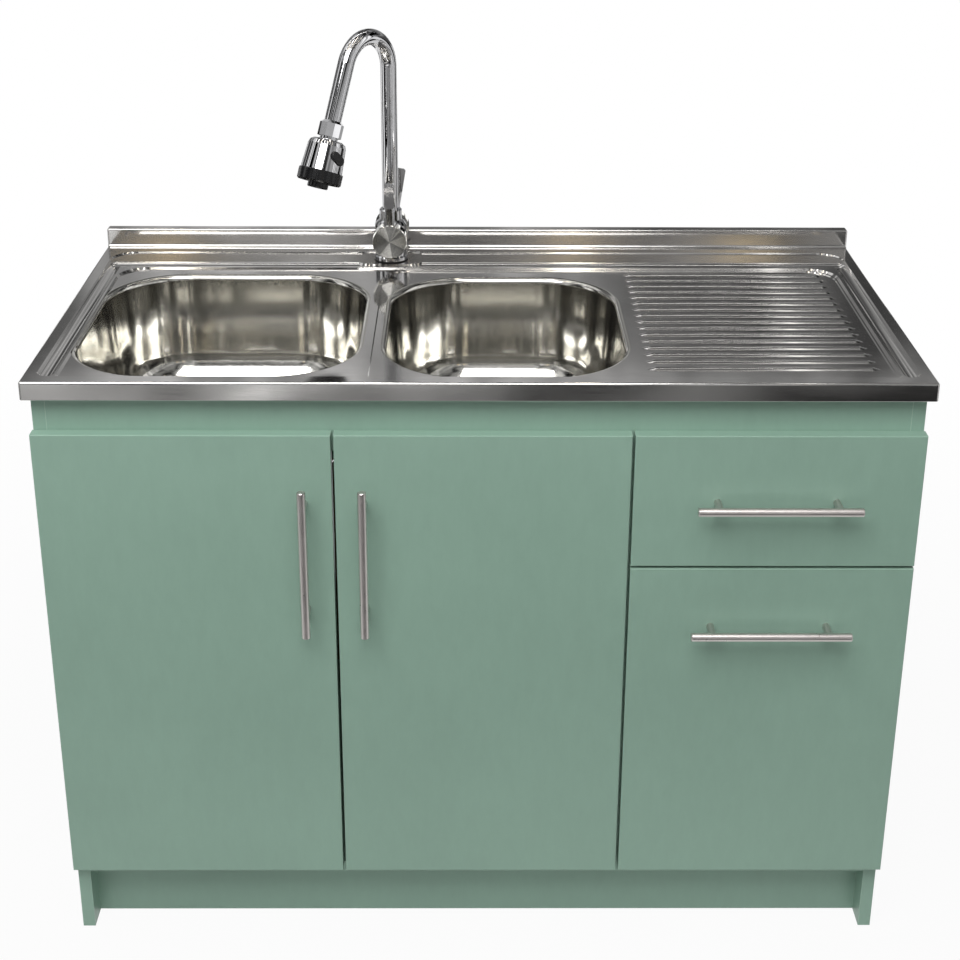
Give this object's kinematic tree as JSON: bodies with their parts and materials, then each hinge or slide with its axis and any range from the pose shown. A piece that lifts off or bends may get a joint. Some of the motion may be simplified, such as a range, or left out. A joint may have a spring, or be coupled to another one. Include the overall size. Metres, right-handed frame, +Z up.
{
  "type": "kitchen sink unit",
  "caption": "Free-standing kitchen cabinet with doors and drawers under a pressed steel sink top with bowls, a ribbed drainer and a gooseneck tap with a turning spray head.",
  "frame": {"origin": "on the floor under the middle of the whole unit, handles included", "axes": "+X to the right seen from the front, +Y towards the wall, +Z up"},
  "size_m": [1.2, 0.6345, 1.2605],
  "materials": {
    "laminate": "satin laminate on chipboard",
    "box_board": "pale melamine",
    "back_board": "hardboard",
    "stainless": "brushed",
    "bowl_steel": "satin polished",
    "handle_steel": "brushed",
    "chrome_plate": "polished",
    "fitting_steel": "zinc plated",
    "black_plastic": "matt black",
    "seal_rubber": "matt"
  },
  "bodies": {
    "cabinet": {"left_side_panel": "laminate", "right_side_panel": "laminate", "partition": "laminate", "bottom_panel": "laminate", "kick_board": "laminate", "back_panel": "back_board", "front_rail": "laminate", "rear_rail": "laminate", "assembly_screws": "fitting_steel", "sink_deck": "stainless", "left_bowl": "bowl_steel", "right_bowl": "bowl_steel", "left_strainer_cup": "stainless", "right_strainer_cup": "stainless", "left_strainer_gasket": "seal_rubber", "right_strainer_gasket": "seal_rubber", "left_strainer_nut": "black_plastic", "right_strainer_nut": "black_plastic", "tap_gasket": "seal_rubber", "tap_body": "chrome_plate", "tap_shank": "fitting_steel", "tap_nut": "fitting_steel", "front_headwork": "chrome_plate", "rear_headwork": "chrome_plate", "left_hinge_arms": "fitting_steel", "right_hinge_arms": "fitting_steel", "upper_cabinet_runners": "fitting_steel", "lower_cabinet_runners": "fitting_steel", "sink_clips": "fitting_steel"},
    "left_door": {"left_door_panel": "laminate", "left_door_handle": "handle_steel", "left_hinge_cups": "fitting_steel"},
    "right_door": {"right_door_panel": "laminate", "right_door_handle": "handle_steel", "right_hinge_cups": "fitting_steel"},
    "upper_drawer": {"upper_drawer_front": "laminate", "upper_drawer_sides": "box_board", "upper_drawer_back": "box_board", "upper_drawer_bottom": "box_board", "upper_drawer_handle": "handle_steel", "upper_drawer_runners": "fitting_steel"},
    "lower_drawer": {"lower_drawer_front": "laminate", "lower_drawer_sides": "box_board", "lower_drawer_back": "box_board", "lower_drawer_bottom": "box_board", "lower_drawer_handle": "handle_steel", "lower_drawer_runners": "fitting_steel"},
    "spout": {"spout_collar": "chrome_plate", "spout_pipe": "chrome_plate", "spray_nut": "chrome_plate"},
    "spray_head": {"spray_bell": "chrome_plate"},
    "spray_face": {"spray_ring": "black_plastic", "spray_nozzle": "black_plastic"},
    "spray_press": {"spray_button": "black_plastic"},
    "front_tap_lever": {"front_lever_cap": "chrome_plate", "front_lever": "chrome_plate"},
    "rear_tap_lever": {"rear_lever_cap": "chrome_plate", "rear_lever": "chrome_plate"},
    "left_waste_basket": {"left_basket": "stainless"},
    "right_waste_basket": {"right_basket": "stainless"}
  },
  "joints": [
    {"name": "left_door_hinge", "type": "hinge", "parent": "cabinet", "child": "left_door", "pos_m": [-0.5925, -0.28125, 0.465], "axis": [0, 0, -1], "range_deg": [0, 110]},
    {"name": "right_door_hinge", "type": "hinge", "parent": "cabinet", "child": "right_door", "pos_m": [0.202, -0.28125, 0.465], "axis": [0, 0, 1], "range_deg": [0, 90]},
    {"name": "upper_drawer_slide", "type": "slide", "parent": "cabinet", "child": "upper_drawer", "axis": [0, -1, 0], "range_m": [0, 0.34]},
    {"name": "lower_drawer_slide", "type": "slide", "parent": "cabinet", "child": "lower_drawer", "axis": [0, -1, 0], "range_m": [0, 0.34]},
    {"name": "spout_swivel", "type": "hinge", "parent": "cabinet", "child": "spout", "pos_m": [-0.138, 0.24525, 0.954], "axis": [0, 0, 1], "continuous": true},
    {"name": "spray_head_swivel", "type": "hinge", "parent": "spout", "child": "spray_head", "pos_m": [-0.2163, 0.13668, 1.13623], "axis": [-0.2286, -0.3169, -0.9205], "continuous": true},
    {"name": "spray_ring_turn", "type": "hinge", "parent": "spray_head", "child": "spray_face", "pos_m": [-0.2163, 0.13668, 1.13623], "axis": [-0.2286, -0.3169, -0.9205], "range_deg": [-60, 60]},
    {"name": "spray_button_press", "type": "slide", "parent": "spray_head", "child": "spray_press", "axis": [-0.7052, 0.7057, -0.0678], "range_m": [0, 0.0015], "stiffness_N_per_m": 600, "springref_m": -0.001},
    {"name": "front_lever_turn", "type": "hinge", "parent": "cabinet", "child": "front_tap_lever", "pos_m": [-0.138, 0.24525, 0.93], "axis": [0, 1, 0], "range_deg": [0, 90]},
    {"name": "rear_lever_turn", "type": "hinge", "parent": "cabinet", "child": "rear_tap_lever", "pos_m": [-0.138, 0.24525, 0.93], "axis": [0, 1, 0], "range_deg": [-9.5, 80.5]},
    {"name": "left_basket_lift", "type": "slide", "parent": "cabinet", "child": "left_waste_basket", "axis": [0, 0, 1], "range_m": [0, 0.12]},
    {"name": "right_basket_lift", "type": "slide", "parent": "cabinet", "child": "right_waste_basket", "axis": [0, 0, 1], "range_m": [0, 0.12]}
  ]
}
